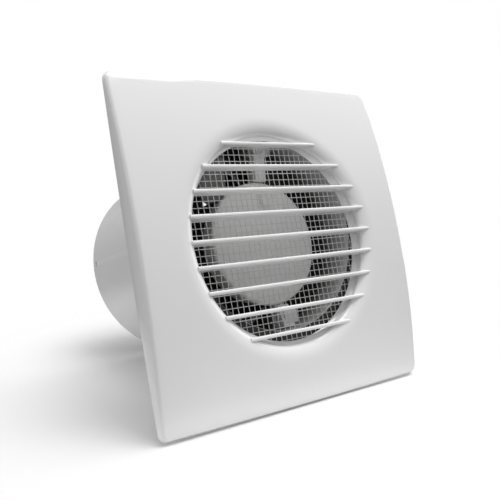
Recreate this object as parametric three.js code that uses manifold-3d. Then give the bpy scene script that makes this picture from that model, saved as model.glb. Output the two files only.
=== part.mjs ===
// Axial extractor fan for a 100 mm duct: a square crowned cover with nine louvre blades and an insect
// screen, a casing whose spigot goes into the wall, and a small shaded-pole motor in a round pod, with
// the impeller behind it.
//
// Millimetres. +X is right as seen from the room, +Y goes into the wall and +Z is up, and the origin is
// the duct's axis in the plane of the wall. Every piece is drawn in front view, with x right, y up and z
// out of the wall towards the room. One group stands that drawing up at the end of the file.

import * as THREE from 'three';
import { mergeVertices } from 'three/addons/utils/BufferGeometryUtils.js';
import Module from 'manifold-3d';

const wasm = await Module();
wasm.setup();

// ---- Driving dimensions ----

const GAP = 0.3; // between pieces that touch
const WALL = 2.2; // moulded wall
const FINE = 56; // sides of a large round form
const MEDIUM = 36;
const COARSE = 12;

const COVER_SIDE = 158;
const COVER_CORNER = 4;
const COVER_EDGE = 2.8; // height of the top and bottom edges above the wall
const COVER_RISE = 7.2; // how much higher the crown is at mid-height
const COVER_DROP = 5; // the cover's centre is this far below the duct's axis
const COVER_FILLET = 1.4;

const MOUTH_RADIUS = 59; // where the cover's face starts to roll into the recess
const RECESS_RADIUS = 50.8; // where the roll has turned square to the wall
const RECESS_DROP = 3.8; // how far below the crown the roll ends
const WELL_RADIUS = 50.2;
const WELL_FOOT = 2.9;
const OPENING_RADIUS = 48.8; // clear opening in front of the screen

const LOUVRE_COUNT = 9;
const LOUVRE_PITCH = 11.3;
const LOUVRE_RADIUS = 54.1; // the circle that the blades' ends lie on
const LOUVRE_SHIFT = 1.4; // that circle's centre is this far right of the cover's
const LOUVRE_INSET = 0.3; // the blades' fronts are this far below the crown
const LOUVRE_REAR = 3.6;
const LOUVRE_THICKNESS = 1.8;
const LOUVRE_SLOPE = THREE.MathUtils.degToRad(6); // blades fall towards the back
const LOUVRE_RISE = 0.65; // the middle blade is this far above the cover's centre

const FLANGE_SIDE = 124;
const FLANGE_CORNER = 8;
const SPIGOT_RADIUS = 50;
const SPIGOT_WALL = 1.8;
const SPIGOT_LENGTH = 102;
const BORE_RADIUS = SPIGOT_RADIUS - SPIGOT_WALL;
const PEG_REACH = 56; // the cover's pegs, from its centre along x and y
const PEG_RADIUS = 2.4;

const POD_DROP = 5; // the pod is centred on the louvres
const POD_RADIUS = 28.8;
const POD_WALL = 1.6;
const POD_MOUTH = -10.6; // the collar's open end, towards the room
const COLLAR_REAR = -20; // where the bracket's collar ends and the motor housing starts
const POD_FLOOR = -46; // the housing's floor, inside
const CAP_RADIUS = 30.8;
const CAP_FRONT = -7.8;

const ARM_X = 4; // both arms stand to the right of the duct's axis
const ARM_WIDTH = 6.8; // the strip along an arm's front
const ARM_WEB = 2.6; // the web behind it
const ARM_POD_FRONT = -8;
const ARM_WALL_FRONT = -5;
const FOOT_SCREW_X = 12.4;
const FOOT_SCREW_Y = 42.6;

const STACK_FRONT = -27; // laminations
const STACK_REAR = -41;
const STATOR_RADIUS = 21.4;
const YOKE_INNER_RADIUS = 18;
const POLE_COUNT = 4;
const AIR_GAP = 0.4;
const ROTOR_RADIUS = 10.8;
const SHAFT_RADIUS = 2;
const RUNNING_CLEARANCE = 0.1;
const MOTOR_SCREW_X = 18.9;
const SCREW_RADIUS = 1.4;

const IMPELLER_FRONT = -54;
const IMPELLER_REAR = -76;
const HUB_RADIUS = 21;
const TIP_RADIUS = 46.6;
const VANE_COUNT = 7;
const VANE_PHASE = 0.69; // in pitches between vanes, at rest

// ---- Solids ----

// A closed geometry as a solid that can be joined and cut. Points on the axis of a turned form make
// triangles with no area, and those are left out.
function solid(geometry) {
  const bare = geometry.clone();
  bare.deleteAttribute('normal');
  bare.deleteAttribute('uv');
  const merged = mergeVertices(bare, 1e-4);
  const corners = merged.index.array;
  const kept = [];
  for (let i = 0; i < corners.length; i += 3) {
    const [a, b, c] = corners.slice(i, i + 3);
    if (a !== b && b !== c && c !== a) {
      kept.push(a, b, c);
    }
  }
  return new wasm.Manifold(new wasm.Mesh({
    numProp: 3,
    vertProperties: merged.attributes.position.array,
    triVerts: new Uint32Array(kept),
  }));
}

function geometryOf(body) {
  const mesh = body.getMesh();
  const geometry = new THREE.BufferGeometry();
  geometry.setAttribute('position', new THREE.BufferAttribute(mesh.vertProperties, 3));
  geometry.setIndex(new THREE.BufferAttribute(mesh.triVerts, 1));
  return geometry;
}

function joined(...bodies) {
  return bodies.reduce((whole, body) => whole.add(body));
}

function cut(body, ...tools) {
  return tools.reduce((left, tool) => left.subtract(tool), body);
}

function block(x0, x1, y0, y1, z0, z1) {
  const geometry = new THREE.BoxGeometry(x1 - x0, y1 - y0, z1 - z0);
  geometry.translate((x0 + x1) / 2, (y0 + y1) / 2, (z0 + z1) / 2);
  return solid(geometry);
}

// A round bar along z.
function rod(radius, z0, z1, x = 0, y = 0, sides = COARSE) {
  const geometry = new THREE.CylinderGeometry(radius, radius, z1 - z0, sides);
  geometry.rotateX(Math.PI / 2);
  geometry.translate(x, y, (z0 + z1) / 2);
  return solid(geometry);
}

// A form turned about z. The profile is a list of [radius, z] that runs anticlockwise, and closes on
// itself or on the axis.
function turned(profile, sides = MEDIUM) {
  const points = profile.map(([radius, z]) => new THREE.Vector2(radius, z));
  const onAxis = profile[0][0] === 0 && profile.at(-1)[0] === 0;
  if (!onAxis) {
    points.push(points[0].clone());
  }
  const geometry = new THREE.LatheGeometry(points, sides);
  geometry.rotateX(Math.PI / 2);
  return solid(geometry);
}

function ring(inner, outer, z0, z1, sides = MEDIUM) {
  return turned([[inner, z0], [outer, z0], [outer, z1], [inner, z1]], sides);
}

// An outline in the (y, z) plane, carried along x.
function barAcross(outline, x0, x1) {
  const shape = new THREE.Shape(outline.map(([y, z]) => new THREE.Vector2(y, z)));
  const geometry = new THREE.ExtrudeGeometry(shape, { depth: x1 - x0, bevelEnabled: false });
  const turn = new THREE.Matrix4().set(
    0, 0, 1, x0,
    1, 0, 0, 0,
    0, 1, 0, 0,
    0, 0, 0, 1,
  );
  geometry.applyMatrix4(turn);
  return solid(geometry);
}

// A body skinned over rings of equal count, each anticlockwise seen from its later neighbours, and
// closed at both ends about the ring's middle.
function loft(rings) {
  const count = rings[0].length;
  const points = rings.flat();
  const triangles = [];
  for (let level = 0; level + 1 < rings.length; level++) {
    for (let i = 0; i < count; i++) {
      const a = level * count + i;
      const b = level * count + (i + 1) % count;
      triangles.push(a, b, b + count, a, b + count, a + count);
    }
  }
  for (const [level, flip] of [[0, true], [rings.length - 1, false]]) {
    const middle = new THREE.Vector3();
    rings[level].forEach((point) => middle.addScaledVector(point, 1 / count));
    const centre = points.push(middle) - 1;
    for (let i = 0; i < count; i++) {
      const a = level * count + i;
      const b = level * count + (i + 1) % count;
      triangles.push(...(flip ? [b, a, centre] : [a, b, centre]));
    }
  }
  const geometry = new THREE.BufferGeometry().setFromPoints(points);
  geometry.setIndex(triangles);
  return solid(geometry);
}

// ---- Cover ----

function crown(y) {
  return COVER_EDGE + COVER_RISE * (1 - (y / (COVER_SIDE / 2)) ** 2);
}

// The cover's outline, drawn in by inset. Its upright sides are divided, so that they follow the crown.
function coverOutline(inset) {
  const radius = Math.max(COVER_CORNER - inset, 1);
  const reach = COVER_SIDE / 2 - inset - radius;
  const arcSteps = 4;
  const sideSteps = 12;
  const outline = [];
  for (let corner = 0; corner < 4; corner++) {
    const centreX = corner === 0 || corner === 3 ? reach : -reach;
    const centreY = corner < 2 ? reach : -reach;
    for (let step = 0; step <= arcSteps; step++) {
      const angle = (corner + step / arcSteps) * Math.PI / 2;
      outline.push(new THREE.Vector2(
        centreX + radius * Math.cos(angle),
        centreY + radius * Math.sin(angle),
      ));
    }
    if (corner % 2 === 1) {
      const side = outline.at(-1).clone();
      for (let step = 1; step < sideSteps; step++) {
        outline.push(new THREE.Vector2(side.x, side.y * (1 - 2 * step / sideSteps)));
      }
    }
  }
  return outline;
}

// Rings that rise from the base, turn over the edge and run in over the crowned face.
function coverRings(inset, base, drop, fillet) {
  const outline = coverOutline(inset);
  const face = coverOutline(inset + fillet);
  const turn = coverOutline(inset + fillet * (1 - Math.SQRT1_2));
  const shoulder = fillet * (1 - Math.SQRT1_2);
  const lift = (points, height) => points.map((p) => new THREE.Vector3(p.x, p.y, height(p.y)));
  const rings = [lift(outline, () => base), lift(outline, (y) => crown(y) - drop - fillet)];
  if (fillet > 0) {
    rings.push(lift(turn, (y) => crown(y) - drop - shoulder), lift(face, (y) => crown(y) - drop));
  }
  for (const scale of [0.85, 0.7, 0.5]) {
    const inner = face.map((p) => p.clone().multiplyScalar(scale));
    rings.push(lift(inner, (y) => crown(y) - drop));
  }
  return rings;
}

// The recess: the face rolls over from the crown into a round well. It is open at both ends.
function recessRings(offset) {
  const levels = [[WELL_RADIUS, () => -5], [WELL_RADIUS, () => WELL_FOOT]];
  for (const degrees of [90, 62, 40, 20]) {
    const angle = THREE.MathUtils.degToRad(degrees);
    const radius = MOUTH_RADIUS - (MOUTH_RADIUS - RECESS_RADIUS) * Math.sin(angle);
    levels.push([radius, (y) => crown(y) - RECESS_DROP * (1 - Math.cos(angle))]);
  }
  levels.push([MOUTH_RADIUS + 3, (y) => crown(y) + 0.6], [MOUTH_RADIUS + 3, () => 30]);
  return levels.map(([radius, height]) => Array.from({ length: FINE }, (_, i) => {
    const angle = i / FINE * 2 * Math.PI;
    const y = (radius + offset) * Math.sin(angle);
    return new THREE.Vector3((radius + offset) * Math.cos(angle), y, height(y));
  }));
}

function louvre(height) {
  const half = LOUVRE_THICKNESS / 2;
  const round = 0.4;
  const front = crown(height) - LOUVRE_INSET;
  const fall = (front - LOUVRE_REAR) * Math.tan(LOUVRE_SLOPE);
  const rearHalf = half - 0.25;
  const reach = Math.sqrt(LOUVRE_RADIUS ** 2 - height ** 2);
  return barAcross([
    [height - half + round, front],
    [height - half, front - round],
    [height - fall - rearHalf, LOUVRE_REAR],
    [height - fall + rearHalf, LOUVRE_REAR],
    [height + half, front - round],
    [height + half - round, front],
  ].reverse(), LOUVRE_SHIFT - reach, LOUVRE_SHIFT + reach);
}

function frontCover() {
  const skin = loft(coverRings(0, 0.2, 0, COVER_FILLET));
  const hollow = loft(coverRings(WALL + 0.2, -1, WALL, 0));
  const sleeve = loft(recessRings(WALL + 0.2)).intersect(block(-90, 90, -90, 90, WELL_FOOT, 40));
  let cover = cut(skin, hollow.subtract(sleeve), loft(recessRings(0)));
  for (const side of [-1, 1]) {
    for (const level of [-1, 1]) {
      cover = cover.add(rod(PEG_RADIUS, 0.5, 5, side * PEG_REACH, level * PEG_REACH));
    }
  }
  for (let i = 0; i < LOUVRE_COUNT; i++) {
    cover = cover.add(louvre((i - (LOUVRE_COUNT - 1) / 2) * LOUVRE_PITCH + LOUVRE_RISE));
  }
  return cover.translate([0, -COVER_DROP, 0]);
}

// ---- Insect screen ----

const SCREEN_RADIUS = 50.4;
const SCREEN_REAR = 0.9;
const SCREEN_THICKNESS = 0.5;
const RING_FRONT = 2.2;
const RING_RADIUS = 51.6;
const SCREEN_BAR = 0.8;
const SCREEN_PITCH = 12.4; // four meshes of the real screen

// A disc with its square meshes cut out. A mesh that would be no more than a sliver at the rim stays shut.
function insectScreen() {
  const front = SCREEN_REAR + SCREEN_THICKNESS;
  const half = (SCREEN_PITCH - SCREEN_BAR) / 2;
  const reach = Math.ceil(SCREEN_RADIUS / SCREEN_PITCH);
  const meshes = [];
  for (let column = -reach; column < reach; column++) {
    for (let row = -reach; row < reach; row++) {
      const x = (column + 0.5) * SCREEN_PITCH;
      const y = (row + 0.5) * SCREEN_PITCH;
      if (Math.hypot(Math.abs(x) - half, Math.abs(y) - half) < SCREEN_RADIUS - 3) {
        meshes.push(block(x - half, x + half, y - half, y + half, SCREEN_REAR - 1, front + 1));
      }
    }
  }
  const inside = rod(SCREEN_RADIUS - 1, SCREEN_REAR - 2, front + 2, 0, 0, FINE);
  const disc = rod(SCREEN_RADIUS, SCREEN_REAR, front, 0, 0, FINE);
  return disc.subtract(joined(...meshes).intersect(inside)).translate([0, -COVER_DROP, 0]);
}

function screenRing() {
  const seat = SCREEN_RADIUS + GAP;
  const lip = SCREEN_REAR + SCREEN_THICKNESS + 0.3;
  return turned([
    [OPENING_RADIUS, lip],
    [seat, lip],
    [seat, SCREEN_REAR - 0.1],
    [RING_RADIUS, SCREEN_REAR - 0.1],
    [RING_RADIUS, RING_FRONT],
    [OPENING_RADIUS, RING_FRONT],
  ], FINE).translate([0, -COVER_DROP, 0]);
}

// ---- Casing ----

const WALL_SCREW_X = 40;
const WALL_SCREW_Y = 52;
const CLAMP_X = 58.5;
const CLAMP_SCREW_Y = 5.5;
const ENTRY_X = 53; // the cable comes in through a notch in the flange's right edge
const ENTRY_LOW = 11.5;
const ENTRY_HIGH = 22.5;
const FOOT_SEATS = [[1, -13.3], [-1, -16.3]]; // side of the axis, and height of the boss under each foot

function flangePlate() {
  const half = FLANGE_SIDE / 2;
  const reach = half - FLANGE_CORNER;
  const shape = new THREE.Shape();
  shape.absarc(reach, reach, FLANGE_CORNER, 0, Math.PI / 2);
  shape.absarc(-reach, reach, FLANGE_CORNER, Math.PI / 2, Math.PI);
  shape.absarc(-reach, -reach, FLANGE_CORNER, Math.PI, 1.5 * Math.PI);
  shape.absarc(reach, -reach, FLANGE_CORNER, 1.5 * Math.PI, 2 * Math.PI);
  const geometry = new THREE.ExtrudeGeometry(shape, { depth: WALL, bevelEnabled: false, curveSegments: 4 });
  return solid(geometry);
}

function flange() {
  let plate = flangePlate();
  for (const side of [-1, 1]) {
    for (const level of [-1, 1]) {
      const x = side * PEG_REACH;
      const y = level * PEG_REACH;
      plate = plate.add(rod(PEG_RADIUS + 2, 1, 3, x, y));
      plate = plate.subtract(rod(PEG_RADIUS + GAP, -1, 6, x, y));
      plate = plate.subtract(rod(2.25, -1, 6, side * WALL_SCREW_X, level * WALL_SCREW_Y));
    }
    plate = plate.add(rod(2.4, 1, 3.9, CLAMP_X, side * CLAMP_SCREW_Y));
    plate = plate.subtract(rod(SCREW_RADIUS + 0.1, 0.6, 6, CLAMP_X, side * CLAMP_SCREW_Y));
  }
  const entry = block(ENTRY_X, FLANGE_SIDE, ENTRY_LOW, ENTRY_HIGH, -1, 6);
  return plate.subtract(entry).translate([0, -COVER_DROP, 0]);
}

function ductCasing() {
  const tube = turned([
    [BORE_RADIUS, -SPIGOT_LENGTH],
    [SPIGOT_RADIUS - 0.6, -SPIGOT_LENGTH],
    [SPIGOT_RADIUS, -SPIGOT_LENGTH + 1.5],
    [SPIGOT_RADIUS, WALL],
    [BORE_RADIUS, WALL],
  ], FINE);
  const mouth = turned([[0, -2], [BORE_RADIUS, -2], [BORE_RADIUS + 1.5, WALL + 1], [0, WALL + 1]], FINE);
  const inside = rod(BORE_RADIUS, -SPIGOT_LENGTH - 1, WALL + 1, 0, 0, FINE);
  const screenSeat = rod(RING_RADIUS + GAP, SCREEN_REAR - GAP, WALL + 1, 0, -COVER_DROP, FINE);
  let casing = cut(joined(tube, flange()), inside, mouth, screenSeat);
  for (const [side, top] of FOOT_SEATS) {
    const low = side > 0 ? 40 : -SPIGOT_RADIUS;
    const high = side > 0 ? SPIGOT_RADIUS : -40;
    const boss = block(2, 15, low, high, top - 9, top).intersect(rod(SPIGOT_RADIUS - 0.5, -60, 0, 0, 0, FINE));
    casing = casing.add(boss).subtract(rod(1.7, top - 20, top + 1, FOOT_SCREW_X, side * FOOT_SCREW_Y));
  }
  for (const side of [-1, 1]) {
    const x = side * SPIGOT_RADIUS;
    casing = casing.subtract(block(x - 3, x + 3, 2.6, 5.2, -98.2, -96.6));
  }
  return casing;
}

// ---- Motor bracket, housing and cap ----

const POD_BORE = POD_RADIUS - POD_WALL;
const SHELF_FRONT = -18.2;
const SHELF_THICKNESS = 1.5;

// An arm from the collar to the duct's wall: a strip in front and a web behind it, with a wider end.
function arm(side, rear) {
  const start = POD_BORE - side * POD_DROP;
  const clear = CAP_RADIUS - side * POD_DROP + GAP;
  const outer = 47.1;
  const bend = 39.5;
  const strip = 2;
  const mouth = POD_MOUTH - 0.2;
  const along = (outline, width) => {
    const points = outline.map(([y, z]) => [side * y, z]);
    return barAcross(side > 0 ? points.reverse() : points, ARM_X - width / 2, ARM_X + width / 2);
  };
  const front = along([
    [start, mouth],
    [start, mouth - strip],
    [clear, mouth - strip],
    [outer, ARM_WALL_FRONT - strip],
    [outer, ARM_WALL_FRONT],
    [clear, ARM_POD_FRONT],
    [clear, mouth],
  ], ARM_WIDTH);
  const web = along([
    [start, mouth - 1],
    [start, COLLAR_REAR + 0.2],
    [bend, rear],
    [outer, rear],
    [outer, ARM_WALL_FRONT - 1],
    [clear, mouth - 1],
  ], ARM_WEB);
  const end = block(ARM_X - 2.2, ARM_X + 5.8, 0, 45.6 - bend, ARM_WALL_FRONT - strip, ARM_WALL_FRONT - 0.2);
  return joined(front, web, end.translate([0, side > 0 ? bend : -45.6, 0]));
}

// The foot at an arm's outer end lies on its boss in the duct. The upper one takes a screw, and the
// lower one has a peg.
function foot(side, rear) {
  const low = side > 0 ? 40.2 : -45;
  return block(2, 15, low, low + 4.8, rear, rear + 2);
}

function motorBracket() {
  const [, upperSeat] = FOOT_SEATS[0];
  const [, lowerSeat] = FOOT_SEATS[1];
  const collar = ring(POD_BORE, POD_RADIUS, COLLAR_REAR, POD_MOUTH).translate([0, -POD_DROP, 0]);
  const shelf = block(-12, 12, -30.5, -9.5, SHELF_FRONT - SHELF_THICKNESS, SHELF_FRONT);
  const bracket = joined(
    collar,
    shelf,
    arm(1, upperSeat + GAP),
    arm(-1, lowerSeat + GAP),
    foot(1, upperSeat + GAP),
    foot(-1, lowerSeat + GAP),
    rod(SCREW_RADIUS, lowerSeat - 4, lowerSeat + 1, FOOT_SCREW_X, -FOOT_SCREW_Y),
  );
  return bracket.subtract(rod(1.7, upperSeat - 1, upperSeat + 6, FOOT_SCREW_X, FOOT_SCREW_Y));
}

// The housing's skirt pushes into the bracket's collar, and is notched round the shelf.
function motorHousing() {
  const front = COLLAR_REAR - GAP;
  const skirt = POD_BORE - GAP;
  const skirtFront = SHELF_FRONT + 1.4;
  const shell = turned([
    [0, POD_FLOOR - 2],
    [POD_RADIUS - 2, POD_FLOOR - 2],
    [POD_RADIUS, POD_FLOOR],
    [POD_RADIUS, front],
    [skirt, front],
    [skirt, skirtFront],
    [skirt - 1.4, skirtFront],
    [skirt - 1.4, front - 1],
    [POD_BORE, front - 3],
    [POD_BORE, POD_FLOOR],
    [0, POD_FLOOR],
  ]).translate([0, -POD_DROP, 0]);
  const notch = block(-13, 13, -36, -8, SHELF_FRONT - SHELF_THICKNESS - GAP, skirtFront + 1);
  const shaftHole = rod(6.5, POD_FLOOR - 3, POD_FLOOR + 1, 0, 0, MEDIUM);
  const screwHoles = [-1, 1].map((side) => rod(1.7, POD_FLOOR - 3, POD_FLOOR + 1, side * MOTOR_SCREW_X, 0));
  return cut(shell, notch, shaftHole, ...screwHoles);
}

function podCap() {
  const skirt = POD_BORE - GAP;
  const disc = turned([
    [0, CAP_FRONT - 1.9],
    [skirt - 1.2, CAP_FRONT - 1.9],
    [skirt - 1.2, CAP_FRONT - 5.5],
    [skirt, CAP_FRONT - 5.5],
    [skirt, CAP_FRONT - 1.9],
    [CAP_RADIUS, CAP_FRONT - 1.9],
    [CAP_RADIUS, CAP_FRONT + 0.4],
    [CAP_RADIUS - 1.2, CAP_FRONT + 0.6],
    [CAP_RADIUS - 1.6, CAP_FRONT],
    [0, CAP_FRONT],
  ], MEDIUM + 8).translate([0, -POD_DROP, 0]);
  const hood = block(0.5, 7.6, 13.4, 23.5, CAP_FRONT - 0.5, CAP_FRONT + 1.4);
  return disc.add(hood);
}

// ---- Motor ----

const BUSH_RADIUS = 4;
const BUSH_BORE = SHAFT_RADIUS + RUNNING_CLEARANCE;
const STATOR_BORE = ROTOR_RADIUS + AIR_GAP;
const COIL_INNER = 13.6; // coil, measured out from the shaft
const COIL_OUTER = 16.4;

function eachPole(make) {
  return Array.from({ length: POLE_COUNT }, (_, i) => make((i + 0.5) * 360 / POLE_COUNT, i));
}

function statorCore() {
  let core = ring(YOKE_INNER_RADIUS, STATOR_RADIUS, STACK_REAR, STACK_FRONT);
  const shoes = ring(STATOR_BORE, STATOR_BORE + 2, STACK_REAR, STACK_FRONT);
  const window = (degrees) => block(0, 20, -7, 7, STACK_REAR - 1, STACK_FRONT + 1).rotate([0, 0, degrees]);
  eachPole((degrees) => {
    const neck = block(STATOR_BORE + 0.5, YOKE_INNER_RADIUS + 1, -3.2, 3.2, STACK_REAR, STACK_FRONT);
    core = joined(core, neck.rotate([0, 0, degrees]), shoes.intersect(window(degrees)));
  });
  for (const side of [-1, 1]) {
    const lug = rod(3.2, STACK_REAR, STACK_FRONT, side * MOTOR_SCREW_X, 0);
    core = core.add(lug.intersect(rod(STATOR_RADIUS, STACK_REAR, STACK_FRONT, 0, 0, MEDIUM)));
    core = core.subtract(rod(1.7, STACK_REAR - 1, STACK_FRONT + 1, side * MOTOR_SCREW_X, 0));
  }
  return core;
}

function coil(degrees) {
  const winding = block(COIL_INNER, COIL_OUTER, -6.6, 6.6, STACK_REAR - 2.5, STACK_FRONT + 2.5);
  const hole = block(COIL_INNER - 1, COIL_OUTER + 1, -3.6, 3.6, STACK_REAR - GAP, STACK_FRONT + GAP);
  return winding.subtract(hole).rotate([0, 0, degrees]);
}

function rotor() {
  const bore = SHAFT_RADIUS + 0.15;
  const endRing = 1.4;
  return turned([
    [bore, STACK_REAR - endRing],
    [ROTOR_RADIUS - 1, STACK_REAR - endRing],
    [ROTOR_RADIUS, STACK_REAR],
    [ROTOR_RADIUS, STACK_FRONT],
    [ROTOR_RADIUS - 1, STACK_FRONT + endRing],
    [bore, STACK_FRONT + endRing],
  ]);
}

// A strap across the motor that holds a bush, with two tubes that stand on the laminations.
function endBracket(outside, inside, stack) {
  const low = Math.min(outside, inside);
  const high = Math.max(outside, inside);
  const strap = block(-22.5, 22.5, -5, 5, low, high).add(rod(7, low, high, 0, 0, MEDIUM));
  const legStart = Math.min(inside, stack);
  const legEnd = Math.max(inside, stack);
  let bracket = strap;
  for (const side of [-1, 1]) {
    bracket = bracket.add(rod(2.6, legStart, legEnd, side * MOTOR_SCREW_X, 0));
    bracket = bracket.subtract(rod(1.7, low - 9, high + 9, side * MOTOR_SCREW_X, 0));
  }
  return bracket.subtract(rod(BUSH_RADIUS + 0.2, low - 1, high + 1, 0, 0, MEDIUM));
}

function panScrew(x, y, seat, tip, headRadius, radius = SCREW_RADIUS) {
  const head = 1.6;
  const slot = block(x - headRadius, x + headRadius, y - 0.35, y + 0.35, seat + head - 0.7, seat + head + 1);
  const body = turned([
    [0, tip],
    [radius, tip + 1.2],
    [radius, seat],
    [headRadius, seat],
    [headRadius, seat + head * 0.5],
    [headRadius * 0.7, seat + head],
    [0, seat + head],
  ], COARSE).translate([x, y, 0]);
  return body.subtract(slot);
}

function motorNut(x) {
  const front = POD_FLOOR - 2.3;
  return rod(2.8, front - 2, front, x, 0, 6).subtract(rod(SCREW_RADIUS + 0.1, front - 3, front + 1, x, 0));
}

function motorShaft() {
  const front = -16.8;
  const rear = IMPELLER_REAR - 5;
  return turned([
    [0, rear],
    [SHAFT_RADIUS - 0.4, rear],
    [SHAFT_RADIUS, rear + 0.6],
    [SHAFT_RADIUS, front - 0.6],
    [SHAFT_RADIUS - 0.4, front],
    [0, front],
  ], 24);
}

// ---- Terminal block and leads ----

const TERMINAL_PITCH = 7;
const BLOCK_FRONT = SHELF_FRONT + 7;
const BLOCK_REAR = SHELF_FRONT + GAP;
const BLOCK_Y = -15.7;
const WIRE_HEIGHT = -15.6;

function terminalBlock() {
  let body = block(-10.5, 10.5, BLOCK_Y - 5.2, BLOCK_Y + 5.2, BLOCK_REAR, BLOCK_FRONT);
  for (const pole of [-1, 0, 1]) {
    const x = pole * TERMINAL_PITCH;
    body = body.subtract(rod(2.1, BLOCK_FRONT - 2.8, BLOCK_FRONT + 1, x, BLOCK_Y));
    const wireHole = rod(1.2, -6, 6, 0, 0, 12).rotate([90, 0, 0]);
    body = body.subtract(wireHole.translate([x, BLOCK_Y, WIRE_HEIGHT]));
  }
  for (const groove of [-0.5, 0.5]) {
    const x = groove * TERMINAL_PITCH;
    body = body.subtract(block(x - 0.5, x + 0.5, BLOCK_Y - 6, BLOCK_Y + 6, BLOCK_FRONT - 3.5, BLOCK_FRONT + 1));
  }
  return body;
}

function terminalScrew(pole) {
  return panScrew(pole * TERMINAL_PITCH, BLOCK_Y, BLOCK_FRONT - 2, BLOCK_FRONT - 2.7, 1.7, 1.2);
}

// An insulated lead, from the terminal block over the front strap to a winding.
function lead(side) {
  const path = new THREE.CatmullRomCurve3([
    new THREE.Vector3(side * TERMINAL_PITCH, BLOCK_Y + 3, WIRE_HEIGHT),
    new THREE.Vector3(side * TERMINAL_PITCH, BLOCK_Y + 7, WIRE_HEIGHT),
    new THREE.Vector3(side * 8.5, -1, -16.4),
    new THREE.Vector3(side * 10, 7.5, -18.6),
    new THREE.Vector3(side * 10.6, 10.6, -23.9),
  ]);
  const section = new THREE.Shape().absarc(0, 0, 0.8, 0, 2 * Math.PI);
  return solid(new THREE.ExtrudeGeometry(section, { steps: 14, curveSegments: 4, extrudePath: path }));
}

// ---- Cable clamp ----

function cableClamp() {
  const y = -COVER_DROP;
  let clamp = block(CLAMP_X - 2.7, CLAMP_X + 2.9, y - 8, y + 8, 4.2, 5.4);
  for (const side of [-1, 1]) {
    clamp = clamp.subtract(rod(SCREW_RADIUS + 0.2, 4, 7, CLAMP_X, y + side * CLAMP_SCREW_Y));
  }
  return clamp;
}

// ---- Impeller ----

// One vane: sections on cylinders about the axis, from inside the hub's wall to the tip. The chord
// flattens and widens towards the tip.
function vane(turn) {
  const stations = 5;
  const rings = [];
  for (let station = 0; station < stations; station++) {
    const share = station / (stations - 1);
    const radius = THREE.MathUtils.lerp(HUB_RADIUS - 1, TIP_RADIUS, share);
    const pitch = THREE.MathUtils.degToRad(THREE.MathUtils.lerp(48, 30, share));
    const chord = THREE.MathUtils.lerp(26, 46, share);
    const lean = THREE.MathUtils.degToRad(10) * share;
    const point = (along, thickness) => {
      const camber = 2.4 * (1 - (2 * along) ** 2);
      const across = camber + thickness;
      const around = along * chord * Math.cos(pitch) - across * Math.sin(pitch);
      const axial = along * chord * Math.sin(pitch) + across * Math.cos(pitch);
      const angle = around / radius + lean + turn;
      const middle = (IMPELLER_FRONT + IMPELLER_REAR) / 2 - 0.5;
      return new THREE.Vector3(radius * Math.cos(angle), radius * Math.sin(angle), middle + axial);
    };
    const steps = [-0.5, -0.3, 0, 0.3, 0.5];
    const lower = steps.map((along) => point(along, Math.abs(along) - 0.8));
    const upper = [...steps].reverse().map((along) => point(along, 0.8 - Math.abs(along)));
    rings.push([...lower, ...upper]);
  }
  return loft(rings);
}

function impeller() {
  const bore = SHAFT_RADIUS + 0.15;
  let body = turned([
    [bore, IMPELLER_REAR],
    [5, IMPELLER_REAR],
    [6, IMPELLER_FRONT - 2],
    [HUB_RADIUS - 2, IMPELLER_FRONT - 2],
    [HUB_RADIUS - 2, IMPELLER_REAR],
    [HUB_RADIUS, IMPELLER_REAR],
    [HUB_RADIUS, IMPELLER_FRONT - 1.5],
    [HUB_RADIUS - 1.5, IMPELLER_FRONT],
    [bore, IMPELLER_FRONT],
  ], MEDIUM + 8);
  for (let i = 0; i < VANE_COUNT; i++) {
    body = body.add(vane((i + VANE_PHASE) / VANE_COUNT * 2 * Math.PI));
  }
  return body.subtract(rod(HUB_RADIUS - 2.01, IMPELLER_REAR - 9, IMPELLER_REAR));
}

// ---- Assembly ----

const whitePlastic = () => new THREE.MeshStandardMaterial({ color: 0xf0eff0, roughness: 0.25, metalness: 0 });
const greyPlastic = () => new THREE.MeshStandardMaterial({ color: 0xd9d9d8, roughness: 0.45, metalness: 0 });
const darkPlastic = () => new THREE.MeshStandardMaterial({ color: 0x303132, roughness: 0.45, metalness: 0 });
const wire = () => new THREE.MeshStandardMaterial({ color: 0xc9c9c6, roughness: 0.4, metalness: 0.8 });
const steel = () => new THREE.MeshStandardMaterial({ color: 0xb4b6b8, roughness: 0.3, metalness: 1 });
const lamination = () => new THREE.MeshStandardMaterial({ color: 0x7d8084, roughness: 0.5, metalness: 0.9 });
const copper = () => new THREE.MeshStandardMaterial({ color: 0xa8562c, roughness: 0.35, metalness: 0.9 });
const bronze = () => new THREE.MeshStandardMaterial({ color: 0xa07c48, roughness: 0.5, metalness: 0.9 });
const nylon = () => new THREE.MeshStandardMaterial({ color: 0xe4e0d4, roughness: 0.5, metalness: 0 });
const insulation = () => new THREE.MeshStandardMaterial({ color: 0x2f5d9a, roughness: 0.6, metalness: 0 });

const fan = new THREE.Group();
fan.rotation.x = Math.PI / 2;

function place(name, body, material) {
  const mesh = new THREE.Mesh(geometryOf(body), material);
  mesh.name = name;
  fan.add(mesh);
}

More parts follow.
